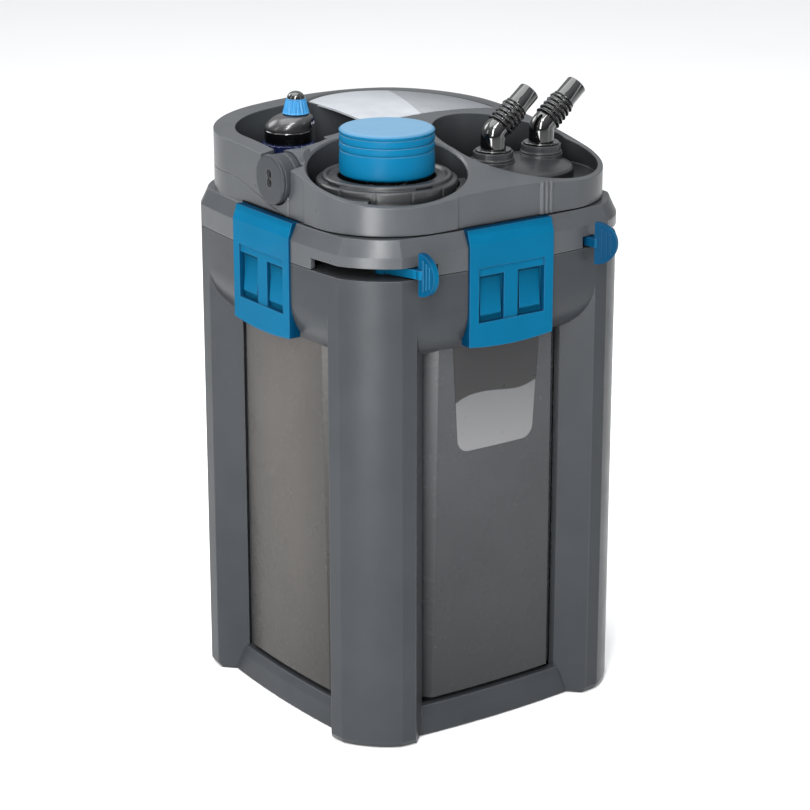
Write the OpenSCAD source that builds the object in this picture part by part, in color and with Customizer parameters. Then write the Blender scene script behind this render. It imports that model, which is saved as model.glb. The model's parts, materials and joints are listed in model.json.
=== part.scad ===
// Canister filter for an aquarium, with a pre-filter column, a plug-in heater and a hose adapter.
// Millimetres, +Z up. The origin is on the floor, under the centre of the body.
// The front, with the label, faces -Y. The lid ("head") lifts straight up off the canister.

/* [Body] */
// Width across two opposite sides, at their middles
body_w = 259.6; // [258.6:0.2:260.6]
// Radius of the gently bowed sides, in plan
side_r = 812; // [780:1:860]
// Radius of the bowed corner posts, in plan
corner_r = 73; // [70:0.5:76]
// Distance from the centre to the middle of a corner post
corner_reach = 157; // [156:0.2:158]
// Height of the top edge of the canister
rim_z = 358.2; // [356:0.2:362]
// Depth of the side panels behind the posts, at the top
panel_top = 16.3; // [15.5:0.1:17]
// Depth of the side panels behind the posts, at the bottom
panel_base = 18.8; // [17.5:0.1:19.5]
// Wall thickness of the mouldings
wall = 3; // [2.5:0.1:3.4]

/* [Posts and collar] */
// Half width of a side recess, at its outer edge
recess_half = 80.5; // [79:0.5:82]
// Height at which the collar starts to curve inwards
collar_z = 329; // [326:1:331]
// Height of the collar's lower lip
collar_lip = 297; // [295:1:299]
// Height of the base skirt
skirt_h = 21.5; // [19:0.5:23]

/* [Head] */
// Half width of the upper body of the head
head_half = 121.5; // [121:0.1:122]
// Corner radius of the upper body of the head
head_r = 61.5; // [60:0.5:63]
// Height of the head's flange top
flange_top = 386.6; // [386:0.1:387]
// Radius of the domed top
dome_r = 636.7; // [620:0.1:660]
// Highest point of the domed top
dome_top = 442.3; // [441:0.1:443]
// Distance of the dome's highest point behind the centre
dome_y = 73; // [65:1:80]
// Distance of the well centres from both middle planes
well_c = 60; // [59.5:0.1:60.5]
// Radius of the round wells in the head
well_r = 57.5; // [57:0.1:57.8]

/* [Latches] */
// Width of a side latch
latch_w = 75; // [70:0.5:76]
// Lowest corner of a side latch
latch_low = 301.7; // [300:0.1:303]
// Height of a side latch's hinge pin
latch_pin_z = 381; // [380:0.1:381.5]
// Diameter of the hinge pins
pin_d = 3; // [2.6:0.1:3.4]
// Distance of a latch pin behind the side's face
pin_inset = 6.2; // [6:0.1:6.4]

/* [Pre-filter] */
// Diameter of the primer cap
cap_d = 68.8; // [66:0.2:70]
// Height of the primer cap's top
cap_top = 453; // [450:0.5:456]
// Radius of the pre-filter column
column_r = 31; // [28:0.5:31]
// Distance of the column's axis from both middle planes
column_c = 54; // [52:0.5:54]
// Radius of the locking ring
ring_r = 51; // [49:0.2:51.6]

/* [Heater] */
// Heater axis, left of the centre
heater_x = -64; // [-66:0.5:-62]
// Heater axis, behind the centre
heater_y = 64; // [62:0.5:65]
// Radius of the heater's head
heater_r = 18; // [16:0.5:19]

/* [Hose adapter] */
// Distance of the adapter's axis right of the centre
adapter_x = 57.3; // [56:0.1:60]
// Distance between the two hose elbows
hose_gap = 44.5; // [41:0.5:45]
// Outer diameter of a hose tail, for a soft hose of about the same bore
tail_d = 16.4; // [15:0.2:17]
// Angle of the hose tails above the horizontal
tail_tilt = 40; // [30:1:50]
// Length of a hose tail, measured from its bend
tail_len = 43; // [40:1:50]

/* [Hidden] */

// Finish colours
frame_grey = [0.36, 0.37, 0.38];
smoke_grey = [0.44, 0.42, 0.40];
plate_grey = [0.72, 0.73, 0.74];
latch_blue = [0.02, 0.45, 0.66];
gloss_black = [0.03, 0.03, 0.04];
fine = 96;
bow = 240;
gap = 0.4;

half = body_w / 2;
seam = 0.6;
head_z = rim_z + seam;
flank = (half - side_r + sqrt(side_r * side_r - recess_half * recess_half) - recess_half) / sqrt(2);
post_inner = 120.3;
tub_cut = 115.3;
tub_top = 352;
tub_step = 26;
dome_z = dome_top - dome_r;
deck_z = 382;
frame_foot = 1;

// Everything is built for the left side and the front left corner, then turned to the others.
module on_sides() {
  for (turn = [0:90:270]) rotate([0, 0, turn]) children();
}

// Inside of one bowed side. The profile lists [distance behind the side's face, height].
module side_disc(profile) {
  inner = [[0, profile[len(profile) - 1][1]], [0, profile[0][1]]];
  outer = [for (p = profile) [side_r - p[0], p[1]]];
  translate([side_r - half, 0, 0]) rotate_extrude($fn = bow) polygon(concat(outer, inner));
}

// Round body of one corner, for the same kind of profile
module corner_disc(profile) {
  inner = [[0, profile[len(profile) - 1][1]], [0, profile[0][1]]];
  outer = [for (p = profile) [corner_r - p[0], p[1]]];
  shift = (corner_reach - corner_r) / sqrt(2);
  translate([-shift, -shift, 0]) rotate_extrude($fn = bow) polygon(concat(outer, inner));
}

// The eight-sided body, four bowed sides and four bowed corners, with one profile all round
module body_solid(profile) {
  low = profile[0][1];
  high = profile[len(profile) - 1][1];
  intersection() {
    rotate([0, 0, 0]) side_disc(profile);
    rotate([0, 0, 90]) side_disc(profile);
    rotate([0, 0, 180]) side_disc(profile);
    rotate([0, 0, 270]) side_disc(profile);
    union() {
      translate([0, 0, low]) rotate([0, 0, 45]) linear_extrude(high - low) square(2 * 141.4, center = true);
      on_sides() corner_disc(profile);
    }
  }
}

module body_prism(inset, low, high) {
  body_solid([[inset, low], [inset, high]]);
}

// The eight-sided tub with straight corner cuts, at a given inset from its outer skin
module tub_solid(inset, low, high) {
  depth = function (z) inset + panel_base + (panel_top - panel_base) * (z - tub_step) / (collar_lip - tub_step);
  profile = [[depth(low), low], [depth(high), high]];
  intersection() {
    rotate([0, 0, 0]) side_disc(profile);
    rotate([0, 0, 90]) side_disc(profile);
    rotate([0, 0, 180]) side_disc(profile);
    rotate([0, 0, 270]) side_disc(profile);
    translate([0, 0, low]) rotate([0, 0, 45]) linear_extrude(high - low)
      square(2 * (tub_cut - inset), center = true);
  }
}

// Block of a corner post, with 45 degree flanks, grown or shrunk by an inset
module post_block(inset, low, high) {
  reach = post_inner + inset;
  rotate([0, 0, 225]) translate([reach, inset - flank, low])
    cube([60, 2 * (flank - inset), high - low]);
}

// Sealed hollow of a corner post
module post_cavity(low) {
  intersection() {
    post_block(wall, low, rim_z - wall);
    body_prism(wall, low, rim_z - wall);
  }
}

// Narrow back of a corner post, which bears on the tub
module post_back(low, high) {
  rotate([0, 0, 225]) translate([tub_cut + gap, -24, low]) cube([post_inner - tub_cut + 1, 48, high - low]);
}

// ---- Canister ----

module collar_side(inset, low, high) {
  bend_r = 38.6;
  intersection() {
    translate([side_r - half, 0, 0]) rotate_extrude($fn = bow) union() {
      intersection() {
        translate([side_r - bend_r, collar_z]) circle(bend_r - inset, $fn = fine);
        translate([side_r - 24, low]) square([24, collar_z - low + 1]);
      }
      translate([side_r - 24, collar_z]) square([24 - inset, high - collar_z]);
    }
    translate([-half - 1, -recess_half - 6, low]) cube([26, 2 * recess_half + 12, high - low]);
  }
}

// Pocket that a side latch lies in
latch_back = half - 120.6;
module latch_pocket(low, high) {
  slot_w = latch_w + 0.8;
  translate([-half - 2, -slot_w / 2, low]) cube([latch_back + 2, slot_w, high - low]);
}

module outer_frame() {
  color(frame_grey) difference() {
    intersection() {
      body_solid([[2.5, frame_foot], [0, frame_foot + 4], [0, rim_z]]);
      union() {
        on_sides() difference() {
          post_block(0, frame_foot, rim_z);
          post_cavity(frame_foot + 6);
        }
        on_sides() post_back(frame_foot + 3, collar_z);
        on_sides() difference() {
          collar_side(0, collar_lip, rim_z);
          collar_side(wall, collar_lip - 1, rim_z - wall);
          post_cavity(collar_lip - 1);
        }
        // Thicker wall behind each latch
        on_sides() intersection() {
          collar_side(0, collar_lip, rim_z);
          translate([-half, -44, collar_lip]) cube([half - 114.6, 88, rim_z - collar_lip]);
        }
      }
    }
    // Seat of the foot pad under each post
    on_sides() rotate([0, 0, 225]) translate([141, 0, frame_foot - 1])
      cylinder(r = 11.05, h = 4, $fn = fine);
    on_sides() latch_pocket(collar_lip - 5, rim_z + 1);
    on_sides() translate([-122, -20.5, 320]) cube([5, 41, 11.4]);
    // Mouth for the tub and the head's plug
    tub_solid(-gap, collar_lip - 2, rim_z + 1);
  }
}

module canister() {
  color(smoke_grey) difference() {
    union() {
      tub_solid(0, tub_step, tub_top);
      tub_solid(8, 8, tub_step + 0.01);
    }
    tub_solid(wall, tub_step + 1, tub_top + 1);
    tub_solid(8 + wall, 12, tub_step + 2);
  }
}

module base_skirt() {
  color(frame_grey) {
    difference() {
      on_sides() intersection() {
        translate([side_r - half, 0, 0]) rotate_extrude($fn = bow) polygon([
          [side_r - 24.5, frame_foot], [side_r - 11.6, frame_foot], [side_r - 15.2, 15],
          [side_r - 17.6, skirt_h], [side_r - 24.5, skirt_h]]);
        translate([-half, -75, 0]) cube([30, 150, 30]);
      }
      on_sides() post_block(-0.1, 0, skirt_h + 1);
    }
    // Tray under the tub, with a rib to every skirt
    difference() {
      translate([0, 0, 3]) rotate([0, 0, 45]) linear_extrude(4.6) square(2 * 115.2, center = true);
      for (i = [-2:2]) for (j = [-2:2]) translate([i * 30, j * 30, 2]) cylinder(r = 11, h = 7, $fn = fine);
      on_sides() translate([-200, -200, 0]) cube([200 - 109, 400, 20]);
    }
  }
}

module foot_pads() {
  color([0.1, 0.1, 0.1]) {
    on_sides() rotate([0, 0, 225]) translate([141, 0, 0]) cylinder(r = 11, h = frame_foot + 3, $fn = fine);
    // Middle pad, under the tray
    cylinder(r = 15, h = 3, $fn = fine);
  }
}

label_half = 40;
label_low = 216.5;
label_round = 10;
module shield_label() {
  thick = 0.35;
  color([0.62, 0.63, 0.64]) rotate([0, 0, 90]) intersection() {
    difference() {
      tub_solid(-thick, 200, 320);
      tub_solid(0, 199, 321);
    }
    translate([-half, 0, 0]) rotate([90, 0, 90]) linear_extrude(40) union() {
      polygon([[-label_half, 311], [-label_half + 5.5, label_low + label_round],
        [label_half - 5.5, label_low + label_round], [label_half, 311]]);
      translate([-label_half + 5.5 + label_round, label_low])
        square([2 * (label_half - 5.5 - label_round), label_round + 1]);
      for (side = [-1, 1]) translate([side * (label_half - 5.5 - label_round), label_low + label_round])
        circle(r = label_round, $fn = fine);
    }
  }
}

// ---- Filter baskets ----

basket_h = 92;
basket_z = [28, 122, 216];
module basket_plan(inset) {
  difference() {
    intersection() {
      square(2 * (100.5 - inset), center = true);
      rotate(45) square(2 * (101 - inset), center = true);
    }
    translate([-column_c, -column_c]) circle(r = column_r + 4 + inset, $fn = fine);
    translate([heater_x, heater_y]) circle(r = 20 + inset, $fn = fine);
  }
}

module basket(level) {
  color([0.12, 0.12, 0.13]) translate([0, 0, basket_z[level]]) difference() {
    linear_extrude(basket_h) basket_plan(0);
    translate([0, 0, 2.5]) linear_extrude(basket_h) basket_plan(2);
    for (i = [-3:3]) for (j = [-3:3]) translate([i * 26 - 8, j * 26 - 8, -1]) cube([16, 16, 5]);
  }
}

module filter_block(level, h, tint) {
  color(tint) translate([0, 0, basket_z[level] + 2.6]) linear_extrude(h) basket_plan(3);
}

// ---- Head ----

module rounded_prism(inset, low, high) {
  straight = 2 * (head_half - head_r);
  side = 2 * (head_half - inset);
  translate([0, 0, low]) linear_extrude(high - low) union() {
    square([side, straight], center = true);
    square([straight, side], center = true);
    on_sides() translate([straight / 2, straight / 2]) circle(r = head_r - inset, $fn = fine);
  }
}

module dome(drop) {
  translate([0, dome_y, dome_z]) sphere(r = dome_r - drop, $fn = bow);
}

// Line where the two shells of the head meet: low in front, high behind
part_low = 387.4;
part_high = 405;
part_y0 = -30;
part_y1 = 58;
function part_line(y) = let (t = max(0, min(1, (y - part_y0) / (part_y1 - part_y0))))
  part_low + (part_high - part_low) * t * t * (3 - 2 * t);

module below_part_line(lift) {
  steps = [for (i = [0:16]) part_y0 + (part_y1 - part_y0) * i / 16];
  line = [for (y = steps) [y, part_line(y) + lift]];
  ends = [[200, part_high + lift], [200, 300], [-200, 300], [-200, part_low + lift]];
  translate([-200, 0, 0]) rotate([90, 0, 90]) linear_extrude(400) polygon(concat(line, ends));
}

lever_pin = [[-91, -100], [92, -106]];
lever_slot_top = 367.2;
module lever_slot(x0, x1) {
  translate([0, 0, head_z - 1]) linear_extrude(lever_slot_top - head_z + 1) intersection() {
    translate([x0, -150]) square([x1 - x0, 150 - 61.7]);
    difference() {
      square(400, center = true);
      rotate(45) square(2 * 118.5, center = true);
    }
  }
}

motor = [48, 50];
port_x = [adapter_x - hose_gap / 2, adapter_x + hose_gap / 2];

module head_base() {
  color(frame_grey) difference() {
    union() {
      difference() {
        body_solid([[0, head_z], [0, 375], [5.5, flange_top]]);
        body_prism(4, head_z - 1, deck_z);
      }
      // Plug that enters the tub
      difference() {
        tub_solid(wall + 0.7, 342, deck_z + 1);
        tub_solid(2 * wall + 0.7, 341, deck_z);
      }
      // Solid surround of each latch pocket
      on_sides() intersection() {
        body_solid([[0, head_z], [0, 375], [5.5, flange_top]]);
        translate([-half, -44, head_z]) cube([half - 114.6, 88, deck_z - head_z + 1]);
      }
      for (p = lever_pin) translate([p[0], p[1], lever_slot_top]) cylinder(r = 6, h = 15, $fn = fine);
      // Upstand of the lower shell
      intersection() {
        difference() {
          rounded_prism(0, flange_top - 1, part_high + 1);
          rounded_prism(wall, flange_top - 2, part_high + 2);
        }
        below_part_line(0);
        translate([-200, -20, 0]) cube([400, 220, 500]);
      }
    }
    on_sides() latch_pocket(head_z - 1, flange_top + 1);
    on_sides() translate([-half + pin_inset, 0, latch_pin_z]) rotate([90, 0, 0])
      cylinder(r = 8, h = latch_w + 0.8, center = true, $fn = fine);
    on_sides() translate([-half + pin_inset, 0, latch_pin_z]) rotate([90, 0, 0])
      cylinder(d = pin_d, h = latch_w + 9, center = true, $fn = fine);
    for (p = lever_pin) translate([p[0], p[1], head_z]) cylinder(d = pin_d, h = 18, $fn = fine);
    lever_slot(-150, -63.3);
    lever_slot(66.9, 150);
    // O-ring groove round the plug
    difference() {
      tub_solid(wall - 2, 348, 352.5);
      tub_solid(wall + 2.2, 347, 353.5);
    }
    translate([-column_c, -column_c, deck_z - 10]) cylinder(r = column_r + 0.6, h = 20, $fn = fine);
    translate([heater_x, heater_y, deck_z - 10]) cylinder(r = 16.6, h = 20, $fn = fine);
    translate([motor[0], motor[1], deck_z - 10]) cylinder(r = 15, h = 20, $fn = fine);
    for (x = port_x) translate([x, -well_c, deck_z - 10]) cylinder(r = 9.3, h = 20, $fn = fine);
    gland_slot(19.2);
    screw_holes(1.5);
  }
}

screw_pos = [[-18, -98], [98, 20], [20, 98], [-98, 20], [18, 18]];
module screw_holes(r) {
  for (p = screw_pos) translate([p[0], p[1], deck_z - 5]) cylinder(r = r, h = 16, $fn = fine);
}

// Round notch in the left wall, open above, for the cable gland
gland_y = -7.6;
gland_z = 413;
module gland_slot(r) {
  translate([-half - 10, gland_y, gland_z]) rotate([0, 90, 0])
    cylinder(r = r, h = half + 10 - 109.2, $fn = fine);
  translate([-half - 10, gland_y - r, gland_z]) cube([half + 10 - 109.2, 2 * r, 40]);
}

// Cavity of a round well
module well(x, y, floor_z) {
  translate([x, y, floor_z]) cylinder(r = well_r, h = 80, $fn = fine);
}

// Bevelled mouth of a round well, square to the dome
mouth_w = 4.2;
module well_mouth(x, y) {
  rise = sqrt(dome_r * dome_r - x * x - (y - dome_y) * (y - dome_y));
  lean = acos(rise / dome_r);
  turn = atan2(y - dome_y, x);
  translate([x, y, dome_z + rise]) rotate([0, 0, turn]) rotate([0, lean, 0]) translate([0, 0, -mouth_w])
    cylinder(r1 = well_r + 0.1, r2 = well_r + 0.1 + 5 * mouth_w, h = 5 * mouth_w, $fn = fine);
}

pre_floor = 398;
port_floor = 402;
heater_floor = 400;
pocket_r = 46;
module heater_pocket(inset, low) {
  translate([0, 0, low]) linear_extrude(80) difference() {
    union() {
      translate([-110 + pocket_r, 98 - pocket_r]) circle(r = pocket_r - inset, $fn = fine);
      translate([-110 + inset, 8 + inset]) square([82 - 2 * inset, 90 - pocket_r - inset]);
      translate([-110 + pocket_r, 8 + inset]) square([82 - pocket_r - inset, 90 - 2 * inset]);
      translate([-110 + inset, 0 + inset]) square([40, 20]);
    }
    translate([-well_c, -well_c]) circle(r = well_r + 5 + inset, $fn = fine);
  }
}

module port_well(inset, low) {
  translate([well_c, -well_c, low]) cylinder(r = well_r - inset, h = 80, $fn = fine);
  translate([well_c - 2, -well_c + 11, low]) cylinder(r = well_r - inset, h = 80, $fn = fine);
}

module head_cover() {
  color(frame_grey) difference() {
    union() {
      difference() {
        intersection() {
          rounded_prism(0, part_low, 470);
          dome(0);
        }
        intersection() {
          rounded_prism(wall, part_low - 1, 470);
          dome(wall);
        }
      }
      intersection() {
        rounded_prism(1, part_low, 470);
        dome(1);
        union() {
          translate([-well_c, -well_c, pre_floor - wall]) cylinder(r = well_r + 2.4, h = 70, $fn = fine);
          port_well(-2.4, port_floor - wall);
          heater_pocket(-2.4, heater_floor - wall);
        }
      }
      // Boss behind the cable gland
      translate([-109.2, gland_y, gland_z]) rotate([0, 90, 0]) cylinder(r = 19.4, h = 16, $fn = fine);
      // Ribs beside the front panel
      for (i = [0:2]) intersection() {
        translate([33.6 + 4 * i, -head_half + 0.2, part_low]) cylinder(r = 1.3, h = 60, $fn = fine);
        dome(-1);
      }
      for (p = screw_pos) intersection() {
        translate([p[0], p[1], flange_top + seam]) cylinder(r = 4, h = 60, $fn = fine);
        dome(1);
      }
    }
    below_part_line(gap);
    well(-well_c, -well_c, pre_floor);
    well_mouth(-well_c, -well_c);
    port_well(0, port_floor);
    well_mouth(well_c, -well_c);
    heater_pocket(0, heater_floor);
    translate([-well_c, -well_c, pre_floor - 10]) cylinder(r = 40, h = 20, $fn = fine);
    translate([heater_x, heater_y, heater_floor - 10]) cylinder(r = 16.6, h = 20, $fn = fine);
    translate([adapter_x, -well_c, port_floor - 10]) cylinder(r = 34, h = 20, $fn = fine);
    gland_slot(19.2);
    // Shallow recess of the front panel, and of the panel in front of the gland
    translate([-41.5, -head_half - 1, part_low]) cube([73.3, 1.8, 60]);
    translate([-head_half - 1, -44, part_low]) cube([1.8, 20, 60]);
    // Seat of the rear plate
    difference() {
      plate_prism(0.3);
      dome(1.6);
    }
    screw_holes(1.5);
  }
  // Tabs that hold the pre-filter's locking ring
  color(frame_grey) for (a = [0:120:240]) translate([-well_c, -well_c, 409]) rotate([0, 0, a - 56])
    rotate_extrude(angle = 38, $fn = fine) translate([ring_r + 1.2, 0])
      square([well_r + 0.4 - ring_r - 1.2, 2.6]);
}

// Plan of the light cover plate over the motor
module plate_prism(grow) {
  translate([0, 0, 430]) linear_extrude(30) intersection() {
    translate([18, 24]) circle(r = 81 + grow, $fn = fine);
    translate([-27 - grow, -100]) square(300);
    rotate(7.6) translate([-100, 11.5 - grow]) square(300);
  }
}

module rear_plate() {
  color(plate_grey) intersection() {
    plate_prism(0);
    difference() {
      dome(-0.3);
      dome(1.5);
    }
  }
}

module head_seal() {
  color([0.05, 0.05, 0.05]) difference() {
    tub_solid(wall + 0.3, 348.2, 352.3);
    tub_solid(wall + 2.2, 347, 353.5);
  }
}

module head_screws() {
  color([0.7, 0.7, 0.7]) for (p = screw_pos) {
    translate([p[0], p[1], deck_z - 1]) cylinder(r = 1.45, h = 11, $fn = fine);
    translate([p[0], p[1], deck_z - 2.1]) cylinder(r = 3, h = 2, $fn = fine);
  }
}

module latch_pins() {
  color([0.75, 0.75, 0.76]) on_sides() translate([-half + pin_inset, 0, latch_pin_z]) rotate([90, 0, 0])
    cylinder(d = pin_d, h = latch_w + 8, center = true, $fn = fine);
}

module lever_pins() {
  color([0.75, 0.75, 0.76]) for (p = lever_pin) translate([p[0], p[1], head_z + 0.1]) {
    cylinder(d = pin_d, h = 17, $fn = fine);
    cylinder(r = pin_d, h = 0.5, $fn = fine);
  }
}

gland_face = 127;
module cable_gland() {
  color(frame_grey) difference() {
    union() {
      translate([-gland_face, gland_y, gland_z]) rotate([0, 90, 0]) cylinder(r = 18.5, h = 3.2, $fn = fine);
      translate([-gland_face + 3, gland_y, gland_z]) rotate([0, 90, 0])
        cylinder(r = 17.8, h = 14.5, $fn = fine);
      translate([-gland_face, gland_y - 12, gland_z - 21.5]) cube([gland_face - head_half - gap, 9, 6]);
    }
    translate([-gland_face + 9.9, gland_y + 10, gland_z - 3]) rotate([0, 90, 0])
      cylinder(r = 1.45, h = 9, $fn = fine);
    for (dz = [-3.2, 3.2]) translate([-gland_face - 1, gland_y, gland_z + 1 + dz]) rotate([0, 90, 0])
      cylinder(r = 3.6, h = 30, $fn = fine);
  }
}

module gland_grommet() {
  color([0.05, 0.05, 0.05]) translate([-gland_face + 1.5, gland_y, gland_z + 1]) rotate([0, 90, 0])
    difference() {
    union() for (dx = [-3.2, 3.2]) translate([dx, 0, 0]) cylinder(r = 3.5, h = 12, $fn = fine);
    for (dx = [-3.2, 3.2]) translate([dx, 0, -1]) cylinder(r = 2.7, h = 14, $fn = fine);
  }
}

module gland_screw() {
  color([0.7, 0.7, 0.7]) translate([-gland_face + 10, gland_y + 10, gland_z - 3]) rotate([0, 90, 0])
    cylinder(r = 1.4, h = 7.4, $fn = fine);
}

// ---- Pump ----

module motor_housing() {
  color([0.15, 0.15, 0.16]) translate([motor[0], motor[1], flange_top + 0.2]) difference() {
    cylinder(r = 34, h = 38, $fn = fine);
    translate([0, 0, -1]) cylinder(r = 14, h = 28, $fn = fine);
    translate([0, 0, 20]) cylinder(r = 3.2, h = 11.7, $fn = fine);
  }
}

module pump_cover() {
  color([0.2, 0.2, 0.21]) translate([motor[0], motor[1], 352]) difference() {
    cylinder(r = 31, h = deck_z - 352 - 0.1, $fn = fine);
    translate([0, 0, 3]) cylinder(r = 28, h = 40, $fn = fine);
    translate([0, 0, -1]) cylinder(r = 9, h = 8, $fn = fine);
    translate([0, -40, 16]) rotate([90, 0, 0]) cylinder(r = 8, h = 24, center = true, $fn = fine);
  }
  color([0.2, 0.2, 0.21]) translate([motor[0], motor[1], 355]) difference() {
    union() {
      cylinder(r = 4.5, h = 5, $fn = fine);
      for (a = [45:90:315]) rotate([0, 0, a]) translate([3.5, -1, -3]) cube([7, 2, 3]);
    }
    translate([0, 0, -1]) cylinder(r = 3.2, h = 8, $fn = fine);
  }
}

module rotor_shaft() {
  color([0.9, 0.9, 0.88]) translate([motor[0], motor[1], 356]) cylinder(r = 2, h = 62, $fn = fine);
}

module shaft_bushes() {
  color([0.08, 0.08, 0.08]) for (z = [355.5, 414.5]) translate([motor[0], motor[1], z]) difference() {
    cylinder(r = 3.2, h = 4, $fn = fine);
    translate([0, 0, z < 400 ? 0.5 : -1]) cylinder(r = 2, h = z < 400 ? 5 : 4.5, $fn = fine);
  }
}

module impeller_rotor() {
  color([0.3, 0.3, 0.32]) translate([motor[0], motor[1], 362]) difference() {
    union() {
      translate([0, 0, 8]) cylinder(r = 12, h = 42, $fn = fine);
      translate([0, 0, 6]) cylinder(r = 24, h = 2.5, $fn = fine);
      cylinder(r = 5, h = 10, $fn = fine);
      for (a = [0:60:300]) rotate([0, 0, a]) translate([3, -0.8, 0]) cube([21, 1.6, 7]);
    }
    translate([0, 0, -1]) cylinder(r = 2.05, h = 60, $fn = fine);
  }
}

// ---- Latches and levers ----

window_half = 29.3;
tee_inset = 1.3;
window_low = 318.4;
window_high = 358.7;
module latch() {
  face = half + 0.5;
  thick = face - half + latch_back - 0.4;
  bulge_r = 272;
  color(latch_blue) difference() {
    union() {
      intersection() {
        difference() {
          translate([-face, -latch_w / 2, 295]) cube([thick, latch_w, flange_top + 0.3 - 295]);
          // Hollow behind the face
          translate([-face + 6.4, -latch_w / 2 + 2.5, 290]) cube([20, latch_w - 5, 82]);
        }
        // Bowed lower edge
        translate([-face - 1, 0, latch_low - 2.6 + bulge_r]) rotate([0, 90, 0])
          cylinder(r = bulge_r, h = 20, $fn = bow);
        // Chamfer along the top
        rotate([90, 0, 0]) linear_extrude(latch_w + 2, center = true) polygon([[-face, 290], [-face, 376.2],
          [-face + 3.4, flange_top + 0.3], [-face + 20, flange_top + 0.3], [-face + 20, 290]]);
      }
      // Knuckle round the hinge pin
      translate([-half + pin_inset, 0, latch_pin_z]) rotate([90, 0, 0])
        cylinder(r = 5, h = latch_w - 1, center = true, $fn = fine);
      // Hook under the collar
      translate([-122.4, -20, 324]) cube([4, 40, 6.6]);
      translate([-face + 6.3, -20, 322]) cube([3, 40, 10]);
    }
    // Window with a tee bar and two finger pads in it
    difference() {
      translate([-face - 1, -window_half, window_low])
        cube([5.6, 2 * window_half, window_high - window_low]);
      translate([-face + tee_inset, -6.2, window_low - 1]) cube([8, 12.4, 50]);
      translate([-face + tee_inset, -window_half - 1, 352.6])
        cube([8, 2 * window_half + 2, window_high - 352.6 - 0.5]);
      for (side = [-1, 1]) translate([0, side * 17.6, 0]) rotate([90, 0, 0])
        linear_extrude(18.4, center = true)
        polygon([[-face + 8, 350.6], [-face + 4, 350.6], [-face + 1.8, 324], [-face + 3.2, 322],
          [-face + 8, 322]]);
    }
    translate([-half + pin_inset, 0, latch_pin_z]) rotate([90, 0, 0])
      cylinder(d = pin_d + 0.08, h = latch_w + 2, center = true, $fn = fine);
  }
}

paddle_r = 15.5;
lever_z = 361.6;
lever_h = 7;
lever_path = [[lever_pin[0], [-79.7, -131]], [lever_pin[1], [74, -118], [75.5, -133]]];
paddle_turn = [-86, -54];

// Straight bar from one point to the next, a little longer at both ends
module bar(from, to, w, low, high) {
  run = to - from;
  more = 1.3;
  translate([from[0], from[1], low]) rotate([0, 0, atan2(run[1], run[0])])
    translate([-more, -w / 2, 0]) cube([norm(run) + 2 * more, w, high - low]);
}

module lift_lever(index) {
  path = lever_path[index];
  pin = path[0];
  last = path[len(path) - 1];
  low = lever_z - lever_h / 2 + 1.5;
  plate_w = 4.6;
  color(latch_blue) difference() {
    union() {
      translate([pin[0], pin[1], low]) cylinder(r = 6.4, h = lever_h, $fn = fine);
      for (i = [1:len(path) - 1]) bar(path[i - 1], path[i], 7.4, low + 0.2, low + lever_h - 0.2);
      translate([path[1][0], path[1][1], low + 0.3]) cylinder(r = 4.4, h = lever_h - 0.6, $fn = fine);
      // Half-round thumb plate, ribbed on its outer face
      translate([last[0], last[1], lever_z + 1]) rotate([0, 0, paddle_turn[index]]) {
        rotate([90, 0, 0]) linear_extrude(plate_w, center = true) intersection() {
          circle(r = paddle_r, $fn = fine);
          translate([-1.4, -20]) square(40);
        }
        for (i = [0:2]) translate([2.6 + 3.4 * i, -plate_w / 2 - 0.6, -11 + 1.6 * i])
          cube([1.6, 1.2, 22 - 3.2 * i]);
      }
    }
    translate([pin[0], pin[1], 340]) cylinder(d = pin_d + 0.08, h = 40, $fn = fine);
  }
}

// ---- Pre-filter ----

module prefilter_head() {
  color(frame_grey) difference() {
    union() {
      translate([-well_c, -well_c, pre_floor + 0.3]) cylinder(r = 52, h = 5.6, $fn = fine);
      translate([-well_c, -well_c, 388.2]) cylinder(r = 39.4, h = 11, $fn = fine);
    }
    translate([-column_c, -column_c, 380]) cylinder(r = 26, h = 12, $fn = fine);
    translate([-well_c, -well_c, 380]) cylinder(r = 5.2, h = 40, $fn = fine);
    for (a = [30:60:330]) translate([-well_c, -well_c, 380]) rotate([0, 0, a]) translate([22, 0, 0])
      cylinder(r = 4, h = 20, $fn = fine);
    // Groove of the O-ring
    translate([-well_c, -well_c, 391]) difference() {
      cylinder(r = 45, h = 3, $fn = fine);
      translate([0, 0, -1]) cylinder(r = 37.6, h = 5, $fn = fine);
    }
  }
}

module prefilter_seal() {
  color([0.05, 0.05, 0.05]) translate([-well_c, -well_c, 392.5]) rotate_extrude($fn = fine)
    translate([38.9, 0]) circle(r = 1.0, $fn = fine);
}

column_low = 60;
module prefilter_cage() {
  color([0.12, 0.12, 0.13]) translate([-column_c, -column_c, 0]) difference() {
    translate([0, 0, column_low]) cylinder(r = column_r, h = 388.2 - column_low, $fn = fine);
    translate([0, 0, column_low + 3]) cylinder(r = column_r - 2.2, h = 330, $fn = fine);
    for (z = [column_low + 12:26:360]) for (a = [0:45:315]) rotate([0, 0, a])
      translate([column_r - 6, -7, z]) cube([12, 14, 16]);
  }
}

module prefilter_foam() {
  color([0.1, 0.35, 0.5]) translate([-column_c, -column_c, column_low + 3.2]) difference() {
    cylinder(r = column_r - 2.6, h = 310, $fn = fine);
    translate([0, 0, -1]) cylinder(r = 12.4, h = 320, $fn = fine);
  }
}

module prefilter_riser() {
  color([0.25, 0.25, 0.26]) translate([-column_c, -column_c, column_low + 3]) difference() {
    cylinder(r = 12, h = 388 - column_low - 3, $fn = fine);
    translate([0, 0, 2]) cylinder(r = 10, h = 340, $fn = fine);
  }
}

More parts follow.
